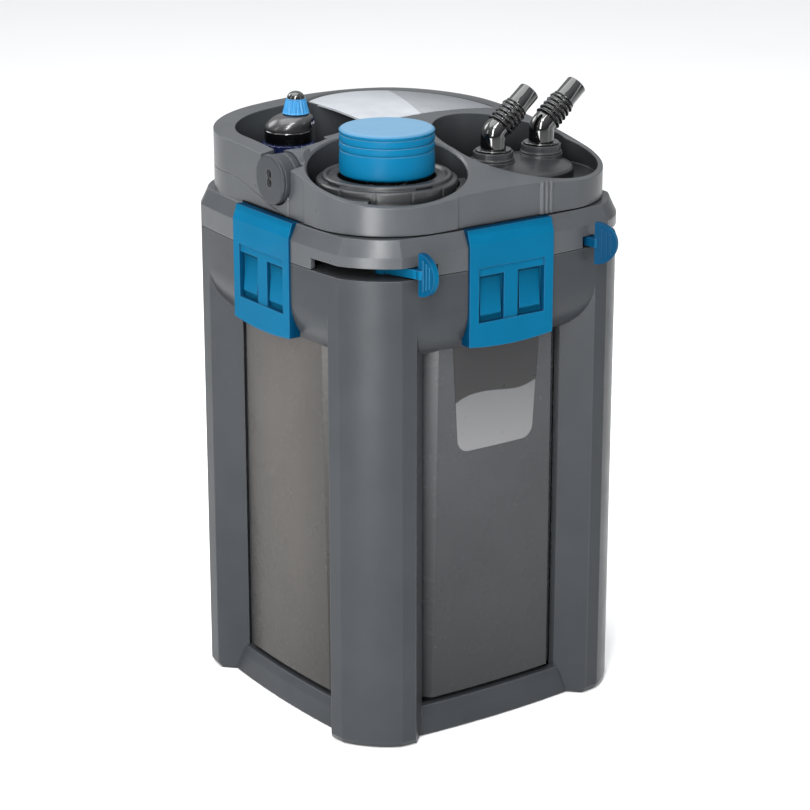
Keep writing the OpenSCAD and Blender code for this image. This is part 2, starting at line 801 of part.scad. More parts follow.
module lock_ring() {
  low = pre_floor + 6.2;
  color(frame_grey) translate([-well_c, -well_c, 0]) {
    difference() {
      rotate_extrude($fn = fine) polygon([
        [35.2, low], [ring_r, low], [ring_r, 415.2], [ring_r - 1, 416.2], [46.6, 416.4], [46.6, 418.6],
        [45.8, 419.5], [43.4, 419.5], [42, 417.4], [36.4, 418.4], [35.2, 417.6]]);
      // Grip slots on the face and ticks round the edge
      for (a = [0:90:270]) rotate([0, 0, a - 9]) rotate_extrude(angle = 18, $fn = fine)
        translate([45.2, 415.6]) square([2, 1.8]);
      for (a = [15:30:345]) rotate([0, 0, a]) translate([ring_r - 0.6, -1.3, low + 1]) cube([2, 2.6, 12]);
    }
    for (a = [0:120:240]) rotate([0, 0, a - 15]) rotate_extrude(angle = 30, $fn = fine)
      translate([ring_r - 0.6, low + 0.4]) square([4.4, 3]);
  }
}

cap_low = cap_top - 33.2;
piston_low = 402.5;
module primer_cap() {
  r = cap_d / 2;
  color(latch_blue) translate([-well_c, -well_c, 0]) difference() {
    rotate_extrude($fn = fine) polygon(concat(
      [[0, cap_low], [r, cap_low]],
      [for (z = [437.7, 443.3, 449]) each [[r, z - 1.1], [r - 1.1, z - 0.3], [r - 1.1, z + 0.3], [r, z + 1.1]]],
      [[r, cap_top - 2], [r - 1.6, cap_top], [0, cap_top]]));
    translate([0, 0, cap_low - 1]) cylinder(r = r - 2.6, h = cap_top - cap_low - 2, $fn = fine);
  }
}

module primer_piston() {
  color([0.85, 0.85, 0.85]) translate([-well_c, -well_c, 0]) {
    translate([0, 0, piston_low]) cylinder(r = 4.9, h = cap_top - 3 - piston_low, $fn = fine);
  }
}

spring_low = pre_floor + 6;
spring_high = cap_top - 3;
module primer_spring() {
  turns = 7;
  wire = 1;
  pitch = (spring_high - spring_low - 2 * wire) / (turns - 1);
  color([0.8, 0.8, 0.8]) translate([-well_c, -well_c, spring_low + wire]) for (i = [0:turns - 1])
    translate([0, 0, i * pitch]) rotate_extrude($fn = fine) translate([14, 0]) circle(r = wire, $fn = 24);
}

// ---- Heater ----

tube_len = 362;
module heater_tube() {
  color([0.2, 0.22, 0.24]) translate([heater_x, heater_y, 62]) difference() {
    cylinder(r = 14, h = tube_len, $fn = fine);
    translate([0, 0, 2]) cylinder(r = 12.5, h = tube_len, $fn = fine);
  }
}

module heater_core() {
  color([0.85, 0.8, 0.7]) translate([heater_x, heater_y, 80]) cylinder(r = 8, h = 240, $fn = fine);
}

module heater_ring() {
  color([0.05, 0.12, 0.4]) translate([heater_x, heater_y, heater_floor + 0.3]) difference() {
    union() {
      cylinder(r = 21, h = 6, $fn = fine);
      cylinder(r = 19.2, h = 20.2, $fn = fine);
      for (a = [0:15:345]) rotate([0, 0, a]) translate([18.6, -1, 10]) cube([2, 2, 9.6]);
    }
    translate([0, 0, -1]) cylinder(r = 14, h = 30, $fn = fine);
  }
}

head_low = heater_floor + 20.6;
module heater_head() {
  color(gloss_black) translate([heater_x, heater_y, head_low]) difference() {
    union() {
      cylinder(r = heater_r, h = 10.6, $fn = fine);
      translate([0, 0, 10]) intersection() {
        translate([0, 0, -6]) sphere(r = 19.2, $fn = fine);
        cylinder(r = heater_r, h = 14, $fn = fine);
      }
    }
    translate([0, 0, -1]) cylinder(r = 14.05, h = 8, $fn = fine);
    translate([knob_off[0], knob_off[1], 8]) cylinder(r = 3, h = 30, $fn = fine);
    translate([knob_off[0], knob_off[1], 21]) cylinder(r = 11, h = 30, $fn = fine);
  }
}

knob_off = [4.9, -3.5];
knob_low = head_low + 21.2;
module heater_knob() {
  color(latch_blue) translate([heater_x + knob_off[0], heater_y + knob_off[1], knob_low]) {
    difference() {
      cylinder(r1 = 10.2, r2 = 7.2, h = 11.5, $fn = fine);
      for (a = [0:20:340]) rotate([0, 0, a]) translate([10.6, 0, -1]) rotate([0, -15, 0])
        cylinder(r = 1, h = 20, $fn = 24);
    }
    translate([0, 0, -11]) cylinder(r = 2.95, h = 11.5, $fn = fine);
  }
}

module knob_tip() {
  color(gloss_black) translate([heater_x + knob_off[0], heater_y + knob_off[1], knob_low + 11.6])
    intersection() {
    translate([0, 0, -1.4]) sphere(r = 7, $fn = fine);
    cylinder(r = 6.9, h = 8, $fn = fine);
  }
}

// ---- Hose adapter ----

module hose_adapter() {
  color(frame_grey) difference() {
    union() {
      translate([adapter_x, -well_c, 0]) rotate_extrude($fn = fine) polygon([
        [0, port_floor + 0.3], [42, port_floor + 0.3], [42, 408.6], [40.6, 410.4], [36, 411.8], [26, 413.6],
        [14, 415], [0, 415]]);
      translate([adapter_x, -well_c, 388]) cylinder(r = 32, h = 15, $fn = fine);
      for (x = port_x) translate([x, -well_c, 403.4]) cylinder(r = 16, h = 13, $fn = fine);
      for (x = port_x) translate([x, -well_c, 381.5]) cylinder(r = 9, h = 12, $fn = fine);
      for (x = port_x) translate([x, -well_c, 352]) cylinder(r = 7.2, h = 32, $fn = fine);
    }
    for (x = port_x) translate([x, -well_c, 344]) cylinder(r = 6, h = 80, $fn = fine);
    for (x = port_x) translate([x, -well_c, 404.2]) cylinder(r = 12, h = 20, $fn = fine);
    for (x = port_x) translate([x, -well_c, 383]) difference() {
      cylinder(r = 10, h = 2.6, $fn = fine);
      translate([0, 0, -1]) cylinder(r = 7.4, h = 5, $fn = fine);
    }
  }
}

module adapter_seals() {
  color([0.05, 0.05, 0.05]) for (x = port_x) translate([x, -well_c, 384.3]) rotate_extrude($fn = fine)
    translate([8.2, 0]) circle(r = 0.8, $fn = fine);
}

module collar_nuts() {
  color(frame_grey) for (x = port_x) translate([x, -well_c, 416.5]) difference() {
    union() {
      cylinder(r = 15.4, h = 1.6, $fn = fine);
      cylinder(r = 15, h = 6.6, $fn = 12);
    }
    translate([0, 0, -1]) cylinder(r = 9.8, h = 10, $fn = fine);
  }
}

module elbow_seals() {
  color([0.05, 0.05, 0.05]) for (x = port_x) translate([x, -well_c, 407]) rotate_extrude($fn = fine)
    translate([10, 0]) circle(r = 1.6, $fn = fine);
}

bend_z = 436;
module elbow(index) {
  bore = 5.4;
  stub = 9.5;
  rib_start = 10;
  plain_start = 30;
  color(gloss_black) translate([port_x[index], -well_c, 0]) difference() {
    union() {
      translate([0, 0, 404.6]) cylinder(r = 8, h = 12, $fn = fine);
      translate([0, 0, 409]) cylinder(r = 11.6, h = 6.6, $fn = fine);
      translate([0, 0, 414]) cylinder(r = stub, h = bend_z - 414, $fn = fine);
      translate([0, 0, 423.6]) cylinder(r = 13.4, h = 1.2, $fn = fine);
      translate([0, 0, bend_z]) sphere(r = stub + 0.3, $fn = 64);
      translate([0, 0, bend_z]) rotate([0, 90 - tail_tilt, 0]) {
        cylinder(r = stub - 0.2, h = rib_start, $fn = fine);
        cylinder(r = 7.4, h = plain_start + 2, $fn = fine);
        for (i = [0:3]) translate([0, 0, rib_start + 0.8 + i * 4.6]) {
          cylinder(r1 = 8.6, r2 = 10.8, h = 1.2, $fn = fine);
          translate([0, 0, 1.2]) cylinder(r1 = 10.8, r2 = 9.2, h = 1.4, $fn = fine);
        }
        translate([0, 0, plain_start - 1]) cylinder(d = tail_d, h = tail_len - plain_start + 1, $fn = fine);
      }
    }
    translate([0, 0, 400]) cylinder(r = bore, h = bend_z - 400, $fn = fine);
    translate([0, 0, bend_z]) sphere(r = bore + 0.5, $fn = 64);
    translate([0, 0, bend_z]) rotate([0, 90 - tail_tilt, 0])
      cylinder(r = bore - 0.2, h = tail_len + 1, $fn = fine);
  }
}

outer_frame();
canister();
base_skirt();
foot_pads();
shield_label();
basket(0);  // basket_lower
basket(1);  // basket_middle
basket(2);  // basket_upper
filter_block(0, 70, [0.8, 0.76, 0.68]);  // ceramic_media
filter_block(1, 84, [0.1, 0.35, 0.55]);  // coarse_foam
filter_block(2, 84, [0.85, 0.5, 0.15]);  // fine_foam
head_base();
head_cover();
rear_plate();
head_seal();
head_screws();
latch_pins();
lever_pins();
cable_gland();
gland_grommet();
gland_screw();
motor_housing();
pump_cover();
rotor_shaft();
shaft_bushes();
impeller_rotor();
latch();  // latch_left
rotate([0, 0, 90]) latch();  // latch_front
rotate([0, 0, 180]) latch();  // latch_right
rotate([0, 0, 270]) latch();  // latch_rear
lift_lever(0);  // lift_lever_left
lift_lever(1);  // lift_lever_right
prefilter_head();
prefilter_cage();
prefilter_foam();
prefilter_riser();
prefilter_seal();
lock_ring();
primer_cap();
primer_piston();
primer_spring();
heater_tube();
heater_ring();
heater_head();
heater_core();
heater_knob();
knob_tip();
hose_adapter();
adapter_seals();
collar_nuts();
elbow_seals();
elbow(0);  // elbow_inlet
elbow(1);  // elbow_outlet
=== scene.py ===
import json
import math

import bmesh
import bpy
from mathutils import Matrix, Vector

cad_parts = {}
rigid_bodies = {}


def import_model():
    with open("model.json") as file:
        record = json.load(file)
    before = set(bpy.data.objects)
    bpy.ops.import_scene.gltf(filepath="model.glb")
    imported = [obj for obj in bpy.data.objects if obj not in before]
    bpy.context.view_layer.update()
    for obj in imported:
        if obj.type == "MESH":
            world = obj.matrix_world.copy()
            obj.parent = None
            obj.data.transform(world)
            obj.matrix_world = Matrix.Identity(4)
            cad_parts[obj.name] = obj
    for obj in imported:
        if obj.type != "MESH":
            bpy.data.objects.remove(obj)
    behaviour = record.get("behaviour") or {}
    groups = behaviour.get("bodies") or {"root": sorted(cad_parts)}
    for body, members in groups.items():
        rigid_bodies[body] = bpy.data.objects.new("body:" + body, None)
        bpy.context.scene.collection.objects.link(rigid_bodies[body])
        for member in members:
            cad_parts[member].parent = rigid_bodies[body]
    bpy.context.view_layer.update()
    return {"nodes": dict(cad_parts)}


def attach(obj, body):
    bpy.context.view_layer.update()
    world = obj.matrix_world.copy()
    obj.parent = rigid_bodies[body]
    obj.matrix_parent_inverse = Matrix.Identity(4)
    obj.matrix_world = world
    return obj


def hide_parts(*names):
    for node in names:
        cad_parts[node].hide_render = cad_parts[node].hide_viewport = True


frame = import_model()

cad = frame["nodes"]
MM = 0.001

# Places on the object, in millimetres, as the CAD has them
WELL = 60.0
CAP_TOP = 453.0
HEATER = (-64.0, 64.0)
KNOB = (-59.1, 60.5)
DOME = 432.0
PORTS = {"elbow_inlet": 35.05, "elbow_outlet": 79.55}
BEND_Z = 436.0
TAIL_TILT = math.radians(40)
GLAND = (-127.0, -7.6, 413.0)

# Places that the materials follow, in metres: axes and radii of the wells, middle of the light cover plate
WELLS = ((-0.06, -0.06, 0.0578), (0.06, -0.06, 0.0578), (0.058, -0.049, 0.0578), (-0.064, 0.052, 0.0463))
PLATE = (0.018, 0.024)
# Heights of the label's wave line across it, both from 0 to 1
WAVE = ((0.0, 0.0), (0.08, 0.45), (0.2, 0.78), (0.42, 0.82), (0.66, 0.42), (0.84, 0.42), (1.0, 1.0))


# ---- Materials ----

def node(tree, kind, **values):
    """A new shader node, with its inputs or properties set by name."""
    new = tree.nodes.new("ShaderNode" + kind)
    for key, value in values.items():
        socket = new.inputs.get(key.replace("_", " "))
        if socket is not None:
            socket.default_value = value
        else:
            setattr(new, key, value)
    return new


def ramp(tree, source, low, high, to_low, to_high):
    """source, mapped from one range to another."""
    new = node(tree, "MapRange")
    tree.links.new(source, new.inputs["Value"])
    for key, value in (("From Min", low), ("From Max", high), ("To Min", to_low), ("To Max", to_high)):
        new.inputs[key].default_value = value
    return new.outputs["Result"]


def mix(tree, factor, first, second):
    """A colour between two colours or sockets."""
    new = node(tree, "Mix", data_type="RGBA")
    tree.links.new(factor, new.inputs["Factor"])
    for index, value in ((6, first), (7, second)):
        if isinstance(value, bpy.types.NodeSocket):
            tree.links.new(value, new.inputs[index])
        else:
            new.inputs[index].default_value = (*value, 1)
    return new.outputs[2]


def scaled(colour, by):
    return tuple(min(1.0, c * by) for c in colour)


def surface(name, colour, rough, vary=0.1, patch=0.05, grain=0.12, grain_size=0.0007, edge=0.3,
            round_by=0.0006, **fixed):
    """Moulded or machined surface: cloudy colour, fine grain, softened edges made slightly lighter, partly
    wear and partly painted highlight.
    """
    material = bpy.data.materials.new(name)
    material.use_nodes = True
    tree = material.node_tree
    shader = tree.nodes["Principled BSDF"]
    for key, value in fixed.items():
        shader.inputs[key.replace("_", " ")].default_value = value
    place = node(tree, "TexCoord").outputs["Object"]
    cloud = node(tree, "TexNoise", Scale=1 / patch, Detail=5.0, Roughness=0.6)
    fine = node(tree, "TexNoise", Scale=1 / grain_size, Detail=3.0, Roughness=0.65)
    smear = node(tree, "TexNoise", Scale=3.1 / patch, Detail=6.0, Roughness=0.7)
    for texture in (cloud, fine, smear):
        tree.links.new(place, texture.inputs["Vector"])
    clouds = ramp(tree, cloud.outputs["Fac"], 0.3, 0.7, 0, 1)
    base = mix(tree, clouds, scaled(colour, 1 - vary), scaled(colour, 1 + vary))
    bevel = node(tree, "Bevel", Radius=round_by)
    flat = node(tree, "NewGeometry").outputs["Normal"]
    turn = node(tree, "VectorMath", operation="DOT_PRODUCT")
    tree.links.new(bevel.outputs["Normal"], turn.inputs[0])
    tree.links.new(flat, turn.inputs[1])
    # Painted highlight and wear: edges where the rounded normal turns from the flat one are made lighter
    edge_wear_and_highlight = ramp(tree, turn.outputs["Value"], 0.99, 0.85, 0, edge)
    base = mix(tree, edge_wear_and_highlight, base, scaled(tuple(c + 0.05 for c in colour), 1.5))
    tree.links.new(base, shader.inputs["Base Color"])
    tree.links.new(ramp(tree, smear.outputs["Fac"], 0.3, 0.7, rough - 0.04, rough + 0.05),
                   shader.inputs["Roughness"])
    bump = node(tree, "Bump", Strength=grain, Distance=0.0002)
    tree.links.new(fine.outputs["Fac"], bump.inputs["Height"])
    tree.links.new(bevel.outputs["Normal"], bump.inputs["Normal"])
    tree.links.new(bump.outputs["Normal"], shader.inputs["Normal"])
    return material


def wired(tree, kind, *sources, **values):
    """A new shader node whose first inputs are wired to sockets or set to values."""
    new = node(tree, kind, **values)
    for index, source in enumerate(sources):
        if isinstance(source, bpy.types.NodeSocket):
            tree.links.new(source, new.inputs[index])
        else:
            new.inputs[index].default_value = source
    return new


def place_of(tree):
    """X, Y and Z outputs of the place being shaded, in metres."""
    return wired(tree, "SeparateXYZ", node(tree, "NewGeometry").outputs["Position"]).outputs


def grey(tree, value):
    """A neutral colour made from one value."""
    return wired(tree, "CombineXYZ", value, value, value).outputs[0]


def plan_distance(tree, place, x, y):
    """Distance of the shaded place from an upright axis."""
    flat = wired(tree, "CombineXYZ", place["X"], place["Y"]).outputs[0]
    return wired(tree, "VectorMath", flat, (x, y, 0), operation="DISTANCE").outputs["Value"]


def multiplied(material, shade):
    """Multiplies a surface's colour by a colour socket."""
    tree = material.node_tree
    shader = tree.nodes["Principled BSDF"]
    both = node(tree, "Mix", data_type="RGBA", blend_type="MULTIPLY")
    both.inputs["Factor"].default_value = 1
    tree.links.new(shader.inputs["Base Color"].links[0].from_socket, both.inputs[6])
    tree.links.new(shade, both.inputs[7])
    tree.links.new(both.outputs[2], shader.inputs["Base Color"])


def smoke_tint_and_painted_light(material):
    """Smoke tint and painted shade that deepen downwards, and painted warm light through the left wall that
    fades to painted shade at both posts.
    """
    tree = material.node_tree
    place = place_of(tree)
    # Painted shade, partly smoke tint: darker towards the bottom
    level = ramp(tree, place["Z"], 0.03, 0.30, 0, 1)
    multiplied(material, mix(tree, level, (0.5, 0.5, 0.5), (1.1, 1.1, 1.1)))
    # Painted warm light through the left wall, fading to painted shade towards both posts; the other walls
    # get a cooler, darker tone
    across = wired(tree, "Math", place["Y"], operation="ABSOLUTE").outputs[0]
    middle = ramp(tree, across, 0.015, 0.075, 1, 0)
    warm = mix(tree, middle, (0.42, 0.4, 0.39), (0.86, 0.77, 0.7))
    left = ramp(tree, place["X"], -0.108, -0.1, 1, 0)
    multiplied(material, mix(tree, left, (0.7, 0.745, 0.81), warm))


def well_shade(material):
    """Painted shade deep in the round wells, and a dark strip round the light cover plate."""
    tree = material.node_tree
    place = place_of(tree)
    inside = 0.0
    for x, y, radius in WELLS:
        near = ramp(tree, plan_distance(tree, place, x, y), radius, radius + 0.0004, 1, 0)
        inside = wired(tree, "Math", near, inside, operation="MAXIMUM").outputs[0]
    # Painted shade: darker further down inside the wells
    depth = ramp(tree, place["Z"], 0.4, 0.43, 0.1, 0.9)
    multiplied(material, mix(tree, inside, (1, 1, 1), grey(tree, depth)))
    from_plate = plan_distance(tree, place, *PLATE)
    strip = 1.0
    for source, low, high, at_low in ((from_plate, 0.0812, 0.0815, 0), (from_plate, 0.0875, 0.0885, 1),
                                      (place["Y"], 0.028, 0.034, 0)):
        part = ramp(tree, source, low, high, at_low, 1 - at_low)
        strip = wired(tree, "Math", part, strip, operation="MULTIPLY").outputs[0]
    multiplied(material, mix(tree, strip, (1, 1, 1), (0.25, 0.25, 0.25)))


def plate_painted_shade(material):
    """Painted light and shade on the light cover plate: lighter left of a faint crease, darker right of it
    and darker still towards +X.
    """
    tree = material.node_tree
    spot = node(tree, "NewGeometry").outputs["Position"]
    lean = wired(tree, "VectorMath", spot, (0.947, -0.322, 0), operation="DOT_PRODUCT").outputs["Value"]
    # Painted shade right of the crease, growing towards +X, and painted light left of it
    right = ramp(tree, lean, 0.0165, 0.0173, 0, 1)
    falls = ramp(tree, place_of(tree)["X"], 0.03, 0.09, 0, 1)
    dim = mix(tree, falls, (0.7, 0.7, 0.7), (0.45, 0.45, 0.46))
    multiplied(material, mix(tree, right, (1.08, 1.08, 1.08), dim))


def blue_painted_shade(material):
    """Painted shade in deeper blue on edges and side walls, which don't face out from the body, and in the
    recessed finger pads.
    """
    tree = material.node_tree
    here = node(tree, "NewGeometry").outputs
    level = wired(tree, "VectorMath", here["Position"], (1, 1, 0), operation="MULTIPLY").outputs[0]
    out = wired(tree, "VectorMath", level, operation="NORMALIZE").outputs[0]
    facing = wired(tree, "VectorMath", out, here["Normal"], operation="DOT_PRODUCT").outputs["Value"]
    # Painted shade on faces that turn away from the outward direction
    turned = ramp(tree, facing, 0.45, 0.85, 0, 1)
    multiplied(material, mix(tree, turned, (0.8, 0.42, 0.5), (1, 1, 1)))
    # Painted shade in the pads: they lie behind the outer faces, so they are nearer the middle of the body
    place = place_of(tree)
    sizes = [wired(tree, "Math", place[axis], operation="ABSOLUTE").outputs[0] for axis in "XY"]
    far = wired(tree, "Math", *sizes, operation="MAXIMUM").outputs[0]
    multiplied(material, grey(tree, ramp(tree, far, 0.1265, 0.1285, 0.7, 1)))


def paler_top(material, colour):
    """A paler tone on faces that look up."""
    tree = material.node_tree
    shader = tree.nodes["Principled BSDF"]
    before = shader.inputs["Base Color"].links[0].from_socket
    normal = wired(tree, "SeparateXYZ", node(tree, "NewGeometry").outputs["Normal"])
    up = ramp(tree, normal.outputs["Z"], 0.6, 0.95, 0, 1)
    tree.links.new(mix(tree, up, before, colour), shader.inputs["Base Color"])


def label_film():
    """Shield-shaped film: dark above and pale below a wave line, with no lettering."""
    material = surface("label_film", (0.2, 0.205, 0.21), 0.3, vary=0.06, edge=0.0, grain=0.03,
                       Specular_IOR_Level=0.25)
    tree = material.node_tree
    place = place_of(tree)
    wave = wired(tree, "ValToRGB", ramp(tree, place["X"], -0.038, 0.038, 0, 1))
    wave.color_ramp.interpolation = "B_SPLINE"
    steps = wave.color_ramp.elements
    for at, height in WAVE:
        step = steps[0] if at == 0 else steps[-1] if at == 1 else steps.new(at)
        step.color = (height, height, height, 1)
    line = ramp(tree, wave.outputs[0], 0, 1, 0.2538, 0.2618)
    above = wired(tree, "Math", place["Z"], line, operation="SUBTRACT").outputs[0]
    side = ramp(tree, above, -0.0003, 0.0003, 1, 0)
    fade = ramp(tree, place["Z"], 0.22, 0.27, 0, 1)
    pale = mix(tree, fade, (0.135, 0.135, 0.14), (0.085, 0.088, 0.092))
    dark = mix(tree, fade, (0.022, 0.022, 0.022), (0.017, 0.017, 0.018))
    tree.links.new(mix(tree, side, dark, pale), tree.nodes["Principled BSDF"].inputs["Base Color"])
    return material


GREY = (0.027, 0.0297, 0.0333)
BLUE = (0.0005, 0.075, 0.153)
finish = {
    "frame": surface("frame_grey", GREY, 0.33, Specular_IOR_Level=0.13, round_by=0.0013, edge=0.5),
    "head": surface("head_grey", (0.04, 0.0435, 0.048), 0.31, Specular_IOR_Level=0.35, patch=0.04,
                    round_by=0.0012),
    "tub": surface("smoke_tub", (0.054, 0.054, 0.054), 0.26, vary=0.12, patch=0.11, grain=0.04,
                   Specular_IOR_Level=0.2),
    "plate": surface("light_cover", (0.31, 0.33, 0.355), 0.16, vary=0.1, patch=0.03, grain=0.05,
                     Coat_Weight=0.4, Coat_Roughness=0.08),
    "blue": surface("latch_blue", BLUE, 0.45, vary=0.06, Specular_IOR_Level=0.03, edge=0.5),
    "knob": surface("knob_blue", (0.03, 0.19, 0.4), 0.35, vary=0.05, Specular_IOR_Level=0.3, edge=0.3,
                    round_by=0.0003),
    "cap": surface("cap_blue", (0.0006, 0.085, 0.175), 0.38, vary=0.05, grain=0.06, edge=0.3,
                   Specular_IOR_Level=0.06),
    "gloss": surface("gloss_black", (0.002, 0.002, 0.0023), 0.06, vary=0.3, grain=0.01, edge=0.02,
                     round_by=0.0003, Specular_IOR_Level=0.6, Coat_Weight=0.6, Coat_Roughness=0.04),
    "dark": surface("inner_black", (0.02, 0.02, 0.021), 0.5, vary=0.2),
    "satin": surface("heater_satin", (0.06, 0.06, 0.063), 0.22, vary=0.15, patch=0.02, grain=0.04,
                     Metallic=0.6),
    "navy": surface("navy_blue", (0.003, 0.006, 0.032), 0.3, vary=0.15, edge=0.2, Specular_IOR_Level=0.3),
    "rubber": surface("rubber_black", (0.012, 0.012, 0.012), 0.7, vary=0.2, grain=0.2),
    "steel": surface("pin_steel", (0.55, 0.55, 0.56), 0.25, vary=0.05, Metallic=1.0, grain=0.03),
    "ceramic": surface("ceramic_cream", (0.6, 0.55, 0.46), 0.75, vary=0.2, patch=0.008, grain=0.6),
    "foam_blue": surface("foam_blue", (0.03, 0.15, 0.3), 0.9, vary=0.3, patch=0.004, grain=1.0,
                         grain_size=0.0015),
    "foam_orange": surface("foam_orange", (0.55, 0.22, 0.05), 0.9, vary=0.3, patch=0.004, grain=1.0,
                           grain_size=0.0015),
    "heater_metal": surface("heater_metal", (0.3, 0.31, 0.33), 0.3, vary=0.08, Metallic=1.0, grain=0.05),
    "mark": surface("mark_white", (0.75, 0.78, 0.82), 0.4, vary=0.05, edge=0.0),
    "label": label_film(),
}
smoke_tint_and_painted_light(finish["tub"])
well_shade(finish["head"])
plate_painted_shade(finish["plate"])
blue_painted_shade(finish["blue"])
paler_top(finish["cap"], (0.1, 0.195, 0.29))

CAD_FINISH = {
    "frame": ("outer_frame", "base_skirt"),
    "head": ("head_base", "head_cover", "prefilter_head", "cable_gland"),
    "tub": ("canister",),
    "plate": ("rear_plate",),
    "label": ("shield_label",),
    "dark": ("basket_lower", "basket_middle", "basket_upper", "prefilter_cage", "prefilter_riser",
             "motor_housing", "pump_cover", "impeller_rotor", "primer_piston"),
    "rubber": ("foot_pads", "head_seal", "prefilter_seal", "adapter_seals", "elbow_seals", "gland_grommet",
               "shaft_bushes"),
    "steel": ("head_screws", "latch_pins", "lever_pins", "gland_screw", "primer_spring"),
    "ceramic": ("ceramic_media", "rotor_shaft", "heater_core"),
    "foam_blue": ("coarse_foam", "prefilter_foam"),
    "foam_orange": ("fine_foam",),
    "heater_metal": ("heater_tube",),
}


def dress(obj, material):
    obj.data.materials.clear()
    obj.data.materials.append(finish[material])


for material, names in CAD_FINISH.items():
    for name in names:
        dress(cad[name], material)


# ---- Mesh tools ----

def add(name, mesh, body, material, replaces=(), crease=40):
    """Puts a mesh in the scene as a piece that moves with a CAD body."""
    obj = bpy.data.objects.new(name, mesh)
    bpy.context.scene.collection.objects.link(obj)
    mesh.shade_smooth()
    mesh.set_sharp_from_angle(angle=math.radians(crease))
    dress(obj, material)
    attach(obj, body)
    if replaces:
        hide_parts(*replaces)
    return obj


def to_mesh(bm, name):
    bmesh.ops.recalc_face_normals(bm, faces=bm.faces)
    mesh = bpy.data.meshes.new(name)
    bm.to_mesh(mesh)
    bm.free()
    return mesh


def filleted(points, steps=5):
    """An outline whose corners (a, b, size) are rounded over that size, in millimetres."""
    line = []
    for index, point in enumerate(points):
        here = Vector(point[:2])
        size = point[2] if len(point) > 2 else 0
        if not size or index in (0, len(points) - 1):
            line.append(here)
            continue
        back = Vector(points[index - 1][:2]) - here
        on = Vector(points[index + 1][:2]) - here
        start = here + back.normalized() * min(size, back.length * 0.49)
        end = here + on.normalized() * min(size, on.length * 0.49)
        for step in range(steps + 1):
            t = step / steps
            line.append(start * (1 - t) ** 2 + here * 2 * t * (1 - t) + end * t * t)
    return line


def lathe_mesh(name, profile, centre, steps=144, turn=None, shape=None):
    """Turns a profile of (radius, height) about an upright axis. shape changes a point's radius by angle."""
    bm = bmesh.new()
    rings = []
    for radius, height in filleted(profile):
        if radius < 0.02:
            rings.append([bm.verts.new((0, 0, height * MM))])
            continue
        ring = []
        for step in range(steps):
            angle = 2 * math.pi * step / steps
            r = (shape(radius, height, angle) if shape else radius) * MM
            ring.append(bm.verts.new((r * math.cos(angle), r * math.sin(angle), height * MM)))
        rings.append(ring)
    for low, high in zip(rings, rings[1:]):
        for step in range(steps):
            nxt = (step + 1) % steps
            corners = [low[step % len(low)], low[nxt % len(low)],
                       high[nxt % len(high)], high[step % len(high)]]
            unique = [v for i, v in enumerate(corners) if v not in corners[:i]]
            if len(unique) > 2:
                bm.faces.new(unique)
    mesh = to_mesh(bm, name)
    if turn is not None:
        mesh.transform(turn)
    mesh.transform(Matrix.Translation(Vector(centre) * MM))
    return mesh


def lathe(name, profile, centre, body, material, slot, replaces=(), crease=40, **more):
    return add(name, lathe_mesh(name, profile, centre, **more), body, material, replaces, crease)


def softened(node_name, body, material, width=0.0004):
    """A CAD piece with its edges rounded, which is shown in place of the plain one."""
    bm = bmesh.new()
    bm.from_mesh(cad[node_name].data)
    bmesh.ops.remove_doubles(bm, verts=bm.verts, dist=1e-6)
    bmesh.ops.dissolve_limit(bm, angle_limit=math.radians(0.6), verts=bm.verts, edges=bm.edges)
    mesh = to_mesh(bm, node_name + "_soft")
    obj = add(node_name + "_soft", mesh, body, material, (node_name,))
    bevel = obj.modifiers.new("edges", "BEVEL")
    bevel.width = width
    bevel.segments = 3
    bevel.limit_method = "ANGLE"
    bevel.angle_limit = math.radians(30)
    return obj


# ---- Latches and levers ----

for side in ("left", "front", "right", "rear"):
    softened("latch_" + side, "latch_" + side, "blue")
for side in ("left", "right"):
    softened("lift_lever_" + side, "lever_" + side, "blue", 0.0006)
softened("lock_ring", "lock_ring", "head", 0.0003)
softened("collar_nuts", "adapter", "head", 0.0006)
softened("hose_adapter", "adapter", "head", 0.0008)


# ---- Primer cap ----

def primer_cap():
    """Cap with three rounded bands and a plain skirt."""
    r = 34.4
    groove = 1.15
    ridge_half = 2.75
    profile = [(0, CAP_TOP - 0.25), (20, CAP_TOP - 0.1), (r - 2.2, CAP_TOP - 0.05, 0.8),
               (r - 0.9, CAP_TOP - 0.8, 0.8)]
    for middle in (451.75, 446.15, 440.5):
        for step in range(1 if middle > 450 else -8, 9):
            t = -step / 8
            bulge = math.sqrt(max(0.0, 1 - t * t))
            profile.append((r - groove + groove * bulge, middle + t * ridge_half))
    profile += [(r - 0.5, 437.0), (r, DOME), (r, 421.0, 0.8), (r - 1.2, 419.9), (r - 2.6, 419.9),
                (r - 2.6, 430)]
    lathe("primer_cap_shell", profile, (-WELL, -WELL, 0), "primer", "cap", "blue_plastic",
          ("primer_cap",), 32)


# ---- Heater ----

